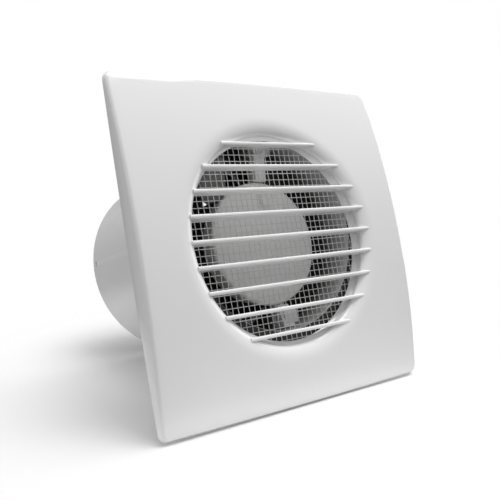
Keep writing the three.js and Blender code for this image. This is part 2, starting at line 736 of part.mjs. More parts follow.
place('front_cover', frontCover(), whitePlastic());
place('insect_screen', insectScreen(), wire());
place('screen_ring', screenRing(), whitePlastic());
place('duct_casing', ductCasing(), whitePlastic());
place('motor_bracket', motorBracket(), greyPlastic());
place('pod_cap', podCap(), greyPlastic());
place('motor_housing', motorHousing(), darkPlastic());
place('stator_core', statorCore(), lamination());
eachPole((degrees, i) => place(`coil_${i + 1}`, coil(degrees), copper()));
place('rotor', rotor(), lamination());
place('motor_shaft', motorShaft(), steel());
place('bush_front', ring(BUSH_BORE, BUSH_RADIUS, -24.3, -18.3, 32), bronze());
place('bush_rear', ring(BUSH_BORE, BUSH_RADIUS, -49.9, -43.9, 32), bronze());
place('thrust_washer_front', ring(SHAFT_RADIUS + 0.15, 4.2, -25.4, -24.5, 24), nylon());
place('thrust_washer_rear', ring(SHAFT_RADIUS + 0.15, 4.2, -43.7, -42.6, 24), nylon());
place('end_bracket_front', endBracket(-20.5, -22, STACK_FRONT + 0.2), steel());
place('end_bracket_rear', endBracket(-45.5, -44, STACK_REAR - 0.2), steel());
place('motor_screw_1', panScrew(-MOTOR_SCREW_X, 0, -20.2, -51.5, 2.6), steel());
place('motor_screw_2', panScrew(MOTOR_SCREW_X, 0, -20.2, -51.5, 2.6), steel());
place('motor_nut_1', motorNut(-MOTOR_SCREW_X), steel());
place('motor_nut_2', motorNut(MOTOR_SCREW_X), steel());
place('impeller', impeller(), darkPlastic());
place('impeller_clip', ring(SHAFT_RADIUS + 0.15, 5, IMPELLER_REAR - 1.3, IMPELLER_REAR - 0.3, 24), steel());
place('bracket_screw', panScrew(FOOT_SCREW_X, FOOT_SCREW_Y, -10.7, -21, 2.4), steel());
place('terminal_block', terminalBlock(), nylon());
[-1, 0, 1].forEach((pole, i) => place(`terminal_screw_${i + 1}`, terminalScrew(pole), bronze()));
place('lead_1', lead(-1), insulation());
place('lead_2', lead(1), insulation());
place('cable_clamp', cableClamp(), greyPlastic());
[-1, 1].forEach((side, i) => {
  const screw = panScrew(CLAMP_X, side * CLAMP_SCREW_Y - COVER_DROP, 5.6, 1.2, 2);
  place(`clamp_screw_${i + 1}`, screw, steel());
});

export default fan;
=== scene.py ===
"""Axial extractor fan for a 100 mm duct, leaning back on its cover's lower edge and the spigot's rear rim.

Every piece is drawn in millimetres in front view: x right, y up and z out of the wall towards the room.
to_row() turns that into the frame's own axes, in metres, when a mesh is made.
"""

import math

import bmesh
import bpy
from mathutils import Matrix, Vector


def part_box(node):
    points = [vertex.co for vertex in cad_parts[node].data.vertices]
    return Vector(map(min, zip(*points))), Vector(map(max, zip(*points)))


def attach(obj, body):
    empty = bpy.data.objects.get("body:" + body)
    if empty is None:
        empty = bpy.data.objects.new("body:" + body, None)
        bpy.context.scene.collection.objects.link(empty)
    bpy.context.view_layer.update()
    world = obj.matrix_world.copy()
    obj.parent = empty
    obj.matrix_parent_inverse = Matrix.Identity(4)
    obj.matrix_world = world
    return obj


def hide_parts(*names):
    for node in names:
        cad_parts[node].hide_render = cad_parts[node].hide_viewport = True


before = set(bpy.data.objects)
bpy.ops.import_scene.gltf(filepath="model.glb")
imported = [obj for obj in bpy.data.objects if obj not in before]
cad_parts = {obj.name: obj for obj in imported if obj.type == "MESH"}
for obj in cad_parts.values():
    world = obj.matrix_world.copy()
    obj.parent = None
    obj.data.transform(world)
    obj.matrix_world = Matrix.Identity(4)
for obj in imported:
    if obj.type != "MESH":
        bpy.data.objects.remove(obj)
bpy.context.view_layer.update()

MM = 0.001
scene = bpy.context.scene

# ---- Driving dimensions, in millimetres ----

COVER_SIDE = 158
HALF = COVER_SIDE / 2
COVER_CORNER = 4
COVER_BOW = 0.5  # the sides' middles stand out this far past the corners
COVER_EDGE = 2.8
COVER_RISE = 7.2
COVER_DROP = 5
COVER_BASE = 0.2
COVER_WALL = 2.2
FACE_INSET = 2
FILLET = 1.5

MOUTH_RADIUS = 59
RECESS_RADIUS = 50.8
WELL_RADIUS = 50.2
WELL_FOOT = 2.9
RECESS_DROP = 3.8

LOUVRE_COUNT = 9
LOUVRE_PITCH = 11.3
LOUVRE_RADIUS = 54.1
LOUVRE_SHIFT = 1.4
LOUVRE_INSET = 0.3
LOUVRE_REAR = 3.6
LOUVRE_THICKNESS = 1.8
LOUVRE_SLOPE = math.radians(6)
LOUVRE_RISE = 0.65

OPENING_RADIUS = 48.8
SCREEN_RADIUS = 50.2
SCREEN_REAR = 0.9
SCREEN_FRONT = 1.4
WIRE_PITCH = 3.1
WIRE_RADIUS = 0.2
RING_FRONT = 2.2
RING_RADIUS = 51.6

FLANGE_SIDE = 124
FLANGE_CORNER = 8
PEG_REACH = 56
ENTRY_X = 53  # the notch for the cable
ENTRY_LOW = 11.5
ENTRY_HIGH = 22.5
WALL_SCREW_X = 40
WALL_SCREW_Y = 52
WALL_SCREW_HOLE = 2.25
SOCKET_RADIUS = 2.7  # what a peg of the cover pushes into
FEET = ("upper", 1, -13.3), ("lower", -1, -16.3)  # side of the axis, and height of the boss
BOSS_START = 40  # the bosses, out from the axis
BOSS_END = 47.6
BOSS_DEPTH = 9

SPIGOT_RADIUS = 50
SPIGOT_WALL = 1.8
BORE_RADIUS = SPIGOT_RADIUS - SPIGOT_WALL
SPIGOT_LENGTH = 102
SLOT_LOW = 2.6  # a short slot on each side, near the rear rim
SLOT_HIGH = 5.2
SLOT_FROM_RIM = 3.8
SLOT_LENGTH = 1.6

POD_RADIUS = 28.8
CAP_RADIUS = 30.8
CAP_FRONT = -7.8
POD_MOUTH = -10.6
COLLAR_REAR = -20
POD_FLOOR = -46
POD_WALL = 1.6
ARM_X = 4
ARM_WIDTH = 6.8
ARM_WEB = 2.6
ARM_POD_FRONT = -8
ARM_WALL_FRONT = -5
ARM_REACH = 47
ARM_BEND = 39.5
ARM_STRIP = 2
ARM_END = 45.6  # where the wider outer end of the strip stops
FOOT_START = 40.2
FOOT_END = 45
SHELF_WIDTH = 24  # under the terminal block
SHELF_LOW = -31
SHELF_HIGH = -9.5
SHELF_FRONT = -18.2
SHELF_THICKNESS = 1.5
HOOD_LOW = 13.4  # the raised block at the top of the pod's disc
HOOD_HIGH = 23.5
HOOD_LEFT = 0.5
HOOD_RIGHT = 7.6

HUB_RADIUS = 21
TIP_RADIUS = 46.6
IMPELLER_FRONT = -54
IMPELLER_REAR = -76
VANE_COUNT = 7
VANE_PHASE = 0.69  # in pitches between vanes, at rest
VANE_ANGLE = 48, 30  # against the plane of rotation, at the hub and at the tip
VANE_CHORD = 26, 46
VANE_LEAN = 10
VANE_CAMBER = 2.4
SPOKE_COUNT = 6

FINE = 192


def to_row(x, y, z):
    return Vector((x, -z, y)) * MM


# ---- Materials ----


def node(tree, kind, place, **settings):
    made = tree.nodes.new(kind)
    made.location = place
    for name, value in settings.items():
        setattr(made, name, value)
    return made


def new_material(name):
    material = bpy.data.materials.new(name)
    material.use_nodes = True
    tree = material.node_tree
    return material, tree, tree.nodes["Principled BSDF"]


def noise(tree, scale, detail, place, stretch=(1, 1, 1)):
    """Noise in the piece's own coordinates. Scale is in features per metre."""
    coordinates = node(tree, "ShaderNodeTexCoord", (place[0] - 400, place[1]))
    mapping = node(tree, "ShaderNodeMapping", (place[0] - 200, place[1]))
    mapping.inputs["Scale"].default_value = stretch
    texture = node(tree, "ShaderNodeTexNoise", place)
    texture.inputs["Scale"].default_value = scale
    texture.inputs["Detail"].default_value = detail
    tree.links.new(coordinates.outputs["Object"], mapping.inputs["Vector"])
    tree.links.new(mapping.outputs["Vector"], texture.inputs["Vector"])
    return texture.outputs["Fac"]


def spread(tree, value, low, high, place):
    """Maps the middle of a noise's range to low..high."""
    mapped = node(tree, "ShaderNodeMapRange", place)
    mapped.inputs["From Min"].default_value = 0.3
    mapped.inputs["From Max"].default_value = 0.7
    mapped.inputs["To Min"].default_value = low
    mapped.inputs["To Max"].default_value = high
    tree.links.new(value, mapped.inputs["Value"])
    return mapped.outputs["Result"]


def ranged(tree, value, start, end, place):
    """0 at start and 1 at end."""
    mapped = node(tree, "ShaderNodeMapRange", place)
    mapped.inputs["From Min"].default_value = start
    mapped.inputs["From Max"].default_value = end
    tree.links.new(value, mapped.inputs["Value"])
    return mapped.outputs["Result"]


def tint(tree, value, colour_a, colour_b, place):
    mixed = node(tree, "ShaderNodeMix", place, data_type="RGBA")
    mixed.inputs["A"].default_value = (*colour_a, 1)
    mixed.inputs["B"].default_value = (*colour_b, 1)
    tree.links.new(value, mixed.inputs["Factor"])
    return mixed.outputs["Result"]


def bumped(tree, shader, value, height, place):
    bump = node(tree, "ShaderNodeBump", place)
    bump.inputs["Strength"].default_value = 1
    bump.inputs["Distance"].default_value = height * MM
    tree.links.new(value, bump.inputs["Height"])
    tree.links.new(bump.outputs["Normal"], shader.inputs["Normal"])


def moulded(name, colour, roughness, grain=0.004):
    """Injection-moulded plastic: a faint cloudiness, uneven gloss and the fine skin of the mould."""
    material, tree, shader = new_material(name)
    cloud = noise(tree, 22, 3, (-900, 300))
    shade = tuple(channel * 0.975 for channel in colour)
    tree.links.new(tint(tree, cloud, colour, shade, (-500, 300)), shader.inputs["Base Color"])
    wear = noise(tree, 160, 4, (-900, 0))
    gloss = spread(tree, wear, roughness * 0.85, roughness * 1.15, (-500, 0))
    tree.links.new(gloss, shader.inputs["Roughness"])
    skin = noise(tree, 1400, 2, (-900, -300))
    bumped(tree, shader, skin, grain, (-300, -300))
    shader.inputs["IOR"].default_value = 1.49
    return material


def painted_shade_inside(material, rise, reach, mouth, depth, rear=SPIGOT_LENGTH + 1):
    """Paints shade into the base colour of what lies within reach of an axis at this rise, from the mouth to
    the rear. Millimetres.
    """
    tree = material.node_tree
    shader = tree.nodes["Principled BSDF"]
    plain = shader.inputs["Base Color"].links[0].from_socket
    place = node(tree, "ShaderNodeTexCoord", (-1300, 700))
    across = node(tree, "ShaderNodeVectorMath", (-1100, 800), operation="MULTIPLY_ADD")
    across.inputs[1].default_value = (1, 0, 1)
    across.inputs[2].default_value = (0, 0, -rise * MM)
    radius = node(tree, "ShaderNodeVectorMath", (-900, 800), operation="LENGTH")
    # Mask for the painted shade: within reach of the axis, and lengthwise between the mouth and the rear.
    inside = ranged(tree, radius.outputs["Value"], reach * MM, (reach - 0.5) * MM, (-700, 800))
    split = node(tree, "ShaderNodeSeparateXYZ", (-1100, 600))
    from_mouth = ranged(tree, split.outputs["Y"], mouth * MM, (mouth + depth) * MM, (-700, 600))
    from_rear = ranged(tree, split.outputs["Y"], rear * MM, (rear - 0.1) * MM, (-700, 400))
    lengthwise = node(tree, "ShaderNodeMath", (-600, 500), operation="MULTIPLY")
    share = node(tree, "ShaderNodeMath", (-500, 700), operation="MULTIPLY")
    mixed = node(tree, "ShaderNodeMix", (-250, 500), data_type="RGBA")
    mixed.inputs["B"].default_value = (*PAINTED_SHADE, 1)
    tree.links.new(place.outputs["Object"], across.inputs[0])
    tree.links.new(across.outputs["Vector"], radius.inputs[0])
    tree.links.new(place.outputs["Object"], split.inputs["Vector"])
    tree.links.new(from_mouth, lengthwise.inputs[0])
    tree.links.new(from_rear, lengthwise.inputs[1])
    tree.links.new(inside, share.inputs[0])
    tree.links.new(lengthwise.outputs["Value"], share.inputs[1])
    tree.links.new(share.outputs["Value"], mixed.inputs["Factor"])
    tree.links.new(plain, mixed.inputs["A"])
    tree.links.new(mixed.outputs["Result"], shader.inputs["Base Color"])


def metal(name, colour, dark, roughness, stretch=(1, 1, 1), grain=0.003):
    """Metal with a drawn or rolled grain along the axis that stretch makes slow."""
    material, tree, shader = new_material(name)
    shader.inputs["Metallic"].default_value = 1
    stain = noise(tree, 130, 4, (-900, 300))
    tree.links.new(tint(tree, stain, colour, dark, (-500, 300)), shader.inputs["Base Color"])
    streak = noise(tree, 900, 3, (-900, 0), stretch)
    gloss = spread(tree, streak, roughness * 0.75, roughness * 1.3, (-500, 0))
    tree.links.new(gloss, shader.inputs["Roughness"])
    bumped(tree, shader, streak, grain, (-300, -300))
    return material


def stacked(name, colour, dark):
    """Punched laminations: thin sheets stacked along the duct's axis, with a dark seam between them."""
    material, tree, shader = new_material(name)
    shader.inputs["Metallic"].default_value = 0.9
    coordinates = node(tree, "ShaderNodeTexCoord", (-1100, 100))
    sheets = node(tree, "ShaderNodeTexWave", (-800, 100), bands_direction="Y")
    sheets.inputs["Scale"].default_value = 320
    sheets.inputs["Distortion"].default_value = 0.4
    tree.links.new(coordinates.outputs["Object"], sheets.inputs["Vector"])
    tree.links.new(tint(tree, sheets.outputs["Fac"], dark, colour, (-500, 300)), shader.inputs["Base Color"])
    rough = noise(tree, 500, 3, (-800, -200))
    tree.links.new(spread(tree, rough, 0.4, 0.62, (-500, -100)), shader.inputs["Roughness"])
    bumped(tree, shader, sheets.outputs["Fac"], 0.05, (-300, -300))
    return material


def wound(name, colour, dark):
    """Enamelled wire laid side by side."""
    material, tree, shader = new_material(name)
    shader.inputs["Metallic"].default_value = 0.85
    coordinates = node(tree, "ShaderNodeTexCoord", (-1100, 100))
    turns = node(tree, "ShaderNodeTexWave", (-800, 100), bands_direction="DIAGONAL")
    turns.inputs["Scale"].default_value = 700
    turns.inputs["Distortion"].default_value = 1.2
    tree.links.new(coordinates.outputs["Object"], turns.inputs["Vector"])
    tree.links.new(tint(tree, turns.outputs["Fac"], dark, colour, (-500, 300)), shader.inputs["Base Color"])
    rough = noise(tree, 400, 2, (-800, -200))
    tree.links.new(spread(tree, rough, 0.22, 0.4, (-500, -100)), shader.inputs["Roughness"])
    bumped(tree, shader, turns.outputs["Fac"], 0.08, (-300, -300))
    return material


# Painted shade: a near-black base colour standing in for the shade inside the duct and round the screen.
PAINTED_SHADE = (0.045, 0.045, 0.046)  # the inside of the duct, which hardly any light reaches

WHITE = moulded("white_cover", (0.88, 0.88, 0.883), 0.09, grain=0.0006)
DUCT_WHITE = moulded("white_casing", (0.84, 0.84, 0.845), 0.2, grain=0.001)
FLANGE_WHITE = moulded("white_flange", (0.84, 0.84, 0.845), 0.2, grain=0.001)
GREY = moulded("grey_inner", (0.84, 0.84, 0.84), 0.38)
DARK = moulded("impeller_plastic", (0.035, 0.036, 0.038), 0.4)
NYLON = moulded("natural_nylon", (0.78, 0.75, 0.66), 0.45)
BLUE = moulded("blue_insulation", (0.03, 0.12, 0.35), 0.5)
WIRE = moulded("screen_wire", (0.72, 0.72, 0.7), 0.4)
STEEL = metal("plated_steel", (0.66, 0.67, 0.68), (0.48, 0.49, 0.5), 0.3, stretch=(1, 0.1, 1))
BRONZE = metal("sintered_bronze", (0.55, 0.4, 0.2), (0.34, 0.24, 0.12), 0.5, grain=0.01)
LAMINATED = stacked("laminated_steel", (0.4, 0.41, 0.43), (0.12, 0.12, 0.13))
COPPER = wound("wound_copper", (0.72, 0.3, 0.12), (0.28, 0.09, 0.03))
# Painted shade: the duct's bore darkens over 20 mm in from the mouth, and the flange's floor round the
# screen, shadowed by the louvres, is darkened too.
painted_shade_inside(DUCT_WHITE, rise=0, reach=BORE_RADIUS + 1, mouth=0, depth=20)
painted_shade_inside(FLANGE_WHITE, rise=-COVER_DROP, reach=SCREEN_RADIUS + 0.8, mouth=-1.5, depth=0.9, rear=-0.35)
DARK.node_tree.nodes["Principled BSDF"].inputs["Specular IOR Level"].default_value = 0.15


# ---- Making pieces ----


def finish_piece(obj, body, stands_for=()):
    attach(obj, body)
    if stands_for:
        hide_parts(*stands_for)
    return obj


def mesh_object(name, points, faces, material, sharp=35):
    mesh = bpy.data.meshes.new(name)
    mesh.from_pydata([to_row(*point) for point in points], [], faces)
    obj = bpy.data.objects.new(name, mesh)
    scene.collection.objects.link(obj)
    mesh.materials.append(material)
    work = bmesh.new()
    work.from_mesh(mesh)
    bmesh.ops.remove_doubles(work, verts=work.verts, dist=1e-7)
    bmesh.ops.recalc_face_normals(work, faces=work.faces)
    work.to_mesh(mesh)
    work.free()
    mesh.shade_smooth()
    mesh.set_sharp_from_angle(angle=math.radians(sharp))
    return obj


def bevelled(obj, width, segments=3):
    modifier = obj.modifiers.new("edges", "BEVEL")
    modifier.width = width * MM
    modifier.segments = segments
    modifier.limit_method = "ANGLE"
    modifier.angle_limit = math.radians(32)
    modifier.harden_normals = True
    modifier.use_clamp_overlap = True
    return obj


def grid_faces(rows, columns, wrap_rows=False, wrap_columns=True):
    faces = []
    for row in range(rows if wrap_rows else rows - 1):
        for column in range(columns if wrap_columns else columns - 1):
            across = (column + 1) % columns
            below = (row + 1) % rows
            faces.append((
                row * columns + column,
                row * columns + across,
                below * columns + across,
                below * columns + column,
            ))
    return faces


def turned(profile, centre=(0, 0), sides=FINE, closed=True):
    """Points and faces of a [radius, z] profile turned about z. An open profile ends on the axis."""
    points = []
    for radius, z in profile:
        for i in range(sides):
            angle = i / sides * math.tau
            points.append((centre[0] + radius * math.cos(angle), centre[1] + radius * math.sin(angle), z))
    return points, grid_faces(len(profile), sides, wrap_rows=closed)


def combined(*shapes):
    points = []
    faces = []
    for more_points, more_faces in shapes:
        start = len(points)
        points.extend(more_points)
        faces.extend(tuple(index + start for index in face) for face in more_faces)
    return points, faces


def prism(outline, start, end, place):
    """An outline carried from start to end. place(u, v, w) gives the point for outline (u, v) at w."""
    count = len(outline)
    points = [place(u, v, w) for w in (start, end) for u, v in outline]
    faces = grid_faces(2, count)
    faces.append(tuple(range(count)))
    faces.append(tuple(range(count, 2 * count)))
    return points, faces


def box_shape(x0, x1, y0, y1, z0, z1):
    return prism([(x0, y0), (x1, y0), (x1, y1), (x0, y1)], z0, z1, lambda u, v, w: (u, v, w))


def arc(centre, radius, start, end, steps):
    """Points round an arc, with angles in degrees."""
    turn = [math.radians(start + (end - start) * i / steps) for i in range(steps + 1)]
    return [(centre[0] + radius * math.cos(a), centre[1] + radius * math.sin(a)) for a in turn]


def cut_with(obj, *shapes):
    """Takes closed shapes out of obj, for good."""
    cutters = []
    for points, faces in shapes:
        cutter = mesh_object("cutter", points, faces, obj.data.materials[0])
        modifier = obj.modifiers.new("cut", "BOOLEAN")
        modifier.operation = "DIFFERENCE"
        modifier.solver = "EXACT"
        modifier.object = cutter
        cutters.append(cutter)
    bpy.context.view_layer.update()
    graph = bpy.context.evaluated_depsgraph_get()
    mesh = bpy.data.meshes.new_from_object(obj.evaluated_get(graph))
    obj.modifiers.clear()
    obj.data = mesh
    mesh.set_sharp_from_angle(angle=math.radians(35))
    for cutter in cutters:
        bpy.data.objects.remove(cutter)
    return obj


# ---- Cover ----


def crown(y):
    return COVER_EDGE + COVER_RISE * (1 - (y / HALF) ** 2)


def inner_face(y):
    return max(crown(y) - COVER_WALL, COVER_BASE + 0.4)


def cover_outline(inset):
    """The cover's rounded square, drawn in by inset, with its sides bowed out."""
    radius = max(COVER_CORNER - inset, 0.8)
    reach = HALF - inset - radius
    side_steps = 36
    points = []
    for corner in range(4):
        centre = (reach if corner in (0, 3) else -reach, reach if corner < 2 else -reach)
        points.extend(arc(centre, radius, corner * 90, corner * 90 + 90, 10))
        following = (-reach if corner in (0, 1) else reach, reach if corner in (0, 3) else -reach)
        end = arc(following, radius, corner * 90 + 90, corner * 90 + 180, 1)[0]
        start = points[-1]
        for step in range(1, side_steps):
            share = step / side_steps
            points.append(tuple(a + (b - a) * share for a, b in zip(start, end)))
    narrow = COVER_BOW / HALF
    return [(x * (1 - narrow * (y / HALF) ** 2), y * (1 - narrow * (x / HALF) ** 2)) for x, y in points]


def cover_shape():
    """The moulding as rings from the foot of the well, out over the face, round the rim and back inside."""
    directions = [Vector(point).normalized() for point in cover_outline(0)]
    rings = []

    def circle(radius, height):
        rings.append([(u.x * radius, u.y * radius, height(u.y * radius)) for u in directions])

    def outline(inset, height):
        rings.append([(x, y, height(y)) for x, y in cover_outline(inset)])

    def face_between(radius, inset, height, order, steps):
        """Rings strictly between a circle and the outline. order gives their steps out from the circle."""
        outer = cover_outline(inset)
        for step in order:
            share = step / steps
            ring = []
            for u, (x, y) in zip(directions, outer):
                px = u.x * radius * (1 - share) + x * share
                py = u.y * radius * (1 - share) + y * share
                ring.append((px, py, height(py)))
            rings.append(ring)

    circle(WELL_RADIUS, lambda y: WELL_FOOT)
    circle(WELL_RADIUS + 0.1, lambda y: WELL_FOOT + 0.05)
    circle(WELL_RADIUS + 1, lambda y: WELL_FOOT + (crown(y) - RECESS_DROP - WELL_FOOT) * 0.5)
    for degrees in range(90, -1, -9):
        turn = math.radians(degrees)
        radius = MOUTH_RADIUS - (MOUTH_RADIUS - RECESS_RADIUS) * math.sin(turn)
        drop = RECESS_DROP * (1 - math.cos(turn))
        circle(radius, lambda y, drop=drop: crown(y) - drop)
    face_between(MOUTH_RADIUS, FACE_INSET, crown, range(1, 14), 14)
    for degrees in range(90, -1, -15):
        turn = math.radians(degrees)
        inset = FACE_INSET - FILLET * math.cos(turn)
        outline(inset, lambda y, turn=turn: crown(y) - FILLET * (1 - math.sin(turn)))
    outline(0.1, lambda y: COVER_BASE + 0.4)
    outline(0.3, lambda y: COVER_BASE)
    outline(COVER_WALL - 0.3, lambda y: COVER_BASE)
    outline(COVER_WALL, lambda y: COVER_BASE + 0.3)
    outline(COVER_WALL + 0.4, inner_face)
    face_between(MOUTH_RADIUS + 1.5, COVER_WALL + 0.4, inner_face, range(7, 0, -1), 8)
    circle(MOUTH_RADIUS + 1.5, inner_face)
    circle(RECESS_RADIUS + 2.4, lambda y: max(crown(y) - RECESS_DROP - 0.6, WELL_FOOT + 0.2))
    circle(WELL_RADIUS + 3.2, lambda y: WELL_FOOT + 0.1)
    circle(WELL_RADIUS + 3, lambda y: WELL_FOOT)
    points = [(x, y - COVER_DROP, z) for ring in rings for x, y, z in ring]
    return points, grid_faces(len(rings), len(directions), wrap_rows=True)


def louvre_shape(height):
    half = LOUVRE_THICKNESS / 2
    nose = 0.7
    front = crown(height) - LOUVRE_INSET
    fall = (front - LOUVRE_REAR) * math.tan(LOUVRE_SLOPE)
    section = arc((half - nose, front - nose), nose, 0, 90, 5)
    section += arc((nose - half, front - nose), nose, 90, 180, 5)
    section += [(-half - fall + 0.25, LOUVRE_REAR), (half - fall - 0.25, LOUVRE_REAR)]
    reach = math.sqrt(LOUVRE_RADIUS ** 2 - height ** 2)
    ends = (LOUVRE_SHIFT - reach, LOUVRE_SHIFT + reach)
    return prism(section, *ends, lambda u, v, w: (w, height - COVER_DROP + u, v))


def make_cover():
    shapes = [cover_shape()]
    for i in range(LOUVRE_COUNT):
        shapes.append(louvre_shape((i - (LOUVRE_COUNT - 1) / 2) * LOUVRE_PITCH + LOUVRE_RISE))
    for side in (-1, 1):
        for level in (-1, 1):
            peg = [(0, 0.5), (2, 0.5), (2.4, 0.9), (2.4, 5), (0, 5)]
            place = (side * PEG_REACH, level * PEG_REACH - COVER_DROP)
            shapes.append(turned(peg, place, sides=32, closed=False))
    obj = mesh_object("cover_moulding", *combined(*shapes), WHITE, sharp=38)
    finish_piece(obj, "cover", ["front_cover"])


def screen_shape():
    """Woven wire: each wire goes over and under the ones that cross it."""
    wires = []
    middle = (SCREEN_REAR + SCREEN_FRONT) / 2
    reach_count = int(SCREEN_RADIUS / WIRE_PITCH)
    sides = 6
    for way in (0, 1):
        for i in range(-reach_count, reach_count + 1):
            place = (i + 0.5) * WIRE_PITCH
            reach = math.sqrt(max(SCREEN_RADIUS ** 2 - place ** 2, 0))
            if reach < WIRE_PITCH:
                continue
            knots = int(2 * reach / WIRE_PITCH * 2)
            points = []
            for k in range(knots + 1):
                along = -reach + 2 * reach * k / knots
                over = math.cos(math.pi * (along / WIRE_PITCH - 0.5 + i + way))
                for side in range(sides):
                    angle = side / sides * math.tau
                    across = place + WIRE_RADIUS * math.cos(angle)
                    z = middle + WIRE_RADIUS * (0.6 * over + math.sin(angle))
                    y = along if way else across
                    x = across if way else along
                    points.append((x, y - COVER_DROP, z))
            wires.append((points, grid_faces(knots + 1, sides)))
    return combined(*wires)


def make_screen():
    obj = mesh_object("woven_screen", *screen_shape(), WIRE, sharp=80)
    finish_piece(obj, "cover", ["insect_screen"])
    lip = SCREEN_FRONT + 0.3
    rear = SCREEN_REAR - 0.1
    front = WELL_FOOT - 0.05
    groove = SCREEN_RADIUS + 0.5
    seat = [
        (OPENING_RADIUS + 0.1, lip), (groove, lip), (groove, rear), (RING_RADIUS, rear),
        (RING_RADIUS, RING_FRONT), (WELL_RADIUS + 0.4, front), (WELL_RADIUS, front),
        (OPENING_RADIUS, lip + 0.1),
    ]
    ring = mesh_object("screen_seat", *turned(seat, (0, -COVER_DROP)), WHITE)
    finish_piece(ring, "cover", ["screen_ring"])


# ---- Casing ----


def bore(radius, centre=(0, 0), front=4, back=-3, sides=48):
    """A closed plug for cutting a round hole."""
    return turned([(0, back), (radius, back), (radius, front), (0, front)], centre, sides, closed=False)


def make_spigot():
    rear = -SPIGOT_LENGTH
    outside = SPIGOT_RADIUS
    wall = [
        (BORE_RADIUS + 0.25, rear), (outside - 0.75, rear), (outside - 0.5, rear + 0.1),
        (outside - 0.15, rear + 0.7), (outside, rear + 1.8), (outside, -0.8), (outside + 0.25, -0.2),
        (outside + 0.8, 0), (outside + 0.8, 0.3), (BORE_RADIUS + 0.9, 0.3), (BORE_RADIUS + 0.5, 0),
        (BORE_RADIUS, -2), (BORE_RADIUS, rear + 0.25),
    ]
    tube = mesh_object("duct_spigot", *turned(wall, sides=240), DUCT_WHITE)
    slots = []
    for side in (-1, 1):
        x = side * SPIGOT_RADIUS
        slot_rear = rear + SLOT_FROM_RIM
        slots.append(box_shape(x - 3, x + 3, SLOT_LOW, SLOT_HIGH, slot_rear, slot_rear + SLOT_LENGTH))
    cut_with(tube, *slots)
    finish_piece(tube, "casing", ["duct_casing"])


def make_flange():
    reach = FLANGE_SIDE / 2 - FLANGE_CORNER
    outline = []
    for corner, (sx, sy) in enumerate(((1, 1), (-1, 1), (-1, -1), (1, -1))):
        centre = (sx * reach, sy * reach - COVER_DROP)
        outline += arc(centre, FLANGE_CORNER, corner * 90, corner * 90 + 90, 8)
    shape = prism(outline, 0, COVER_WALL, lambda u, v, w: (u, v, w))
    plate = mesh_object("casing_flange", *shape, FLANGE_WHITE)
    holes = [
        bore(BORE_RADIUS + 0.8, sides=128),
        bore(RING_RADIUS + 0.3, (0, -COVER_DROP), back=0.5, sides=128),
    ]
    screw_hole = (WALL_SCREW_HOLE, WALL_SCREW_X, WALL_SCREW_Y)
    for radius, x, y in (screw_hole, (SOCKET_RADIUS, PEG_REACH, PEG_REACH)):
        for side in (-1, 1):
            for level in (-1, 1):
                holes.append(bore(radius, (side * x, level * y - COVER_DROP)))
    holes.append(box_shape(ENTRY_X, FLANGE_SIDE, ENTRY_LOW - COVER_DROP, ENTRY_HIGH - COVER_DROP, -3, 4))
    cut_with(plate, *holes)
    bevelled(plate, 0.3, 2)
    finish_piece(plate, "casing")


def make_casing():
    make_spigot()
    make_flange()
    for name, level, top in FEET:
        across = sorted((level * BOSS_START, level * BOSS_END))
        boss = mesh_object(f"foot_seat_{name}", *box_shape(2, 14, *across, top - BOSS_DEPTH, top), DUCT_WHITE)
        finish_piece(bevelled(boss, 0.4), "casing")


# ---- Pod ----


def along_arm(level, outline, width):
    """An outline in the (y, z) plane as a bar of this width, on the upper or lower side."""
    sided = [(level * u, v) for u, v in outline]
    return prism(sided, ARM_X - width / 2, ARM_X + width / 2, lambda u, v, w: (w, u, v))


def make_arm(name, level, seat):
    """A strip in front and a web behind it, from the pod's collar to a foot on the duct's wall."""
    start = POD_RADIUS - POD_WALL - level * COVER_DROP
    clear = CAP_RADIUS - level * COVER_DROP + 0.3
    mouth = POD_MOUTH - 0.2
    rear = seat + 0.3
    strip = [
        (start, mouth), (start, mouth - ARM_STRIP), (clear, mouth - ARM_STRIP),
        (ARM_REACH, ARM_WALL_FRONT - ARM_STRIP), (ARM_REACH, ARM_WALL_FRONT),
        (clear, ARM_POD_FRONT), (clear, mouth),
    ]
    web = [
        (start, mouth - 1), (start, COLLAR_REAR + 0.2), (ARM_BEND, rear), (ARM_REACH, rear),
        (ARM_REACH, ARM_WALL_FRONT - 1), (clear, mouth - 1),
    ]
    end = sorted((level * ARM_BEND, level * ARM_END))
    foot = sorted((level * FOOT_START, level * FOOT_END))
    end_rear = ARM_WALL_FRONT - ARM_STRIP
    parts = {
        "arm": along_arm(level, strip, ARM_WIDTH),
        "arm_web": along_arm(level, web, ARM_WEB),
        "arm_end": box_shape(ARM_X - 2.2, ARM_X + 5.8, *end, end_rear, ARM_WALL_FRONT - 0.2),
        "foot": box_shape(2.2, 14.8, *foot, rear, rear + 2),
    }
    for kind, shape in parts.items():
        obj = mesh_object(f"{kind}_{name}", *shape, GREY)
        finish_piece(bevelled(obj, 0.4), "casing")


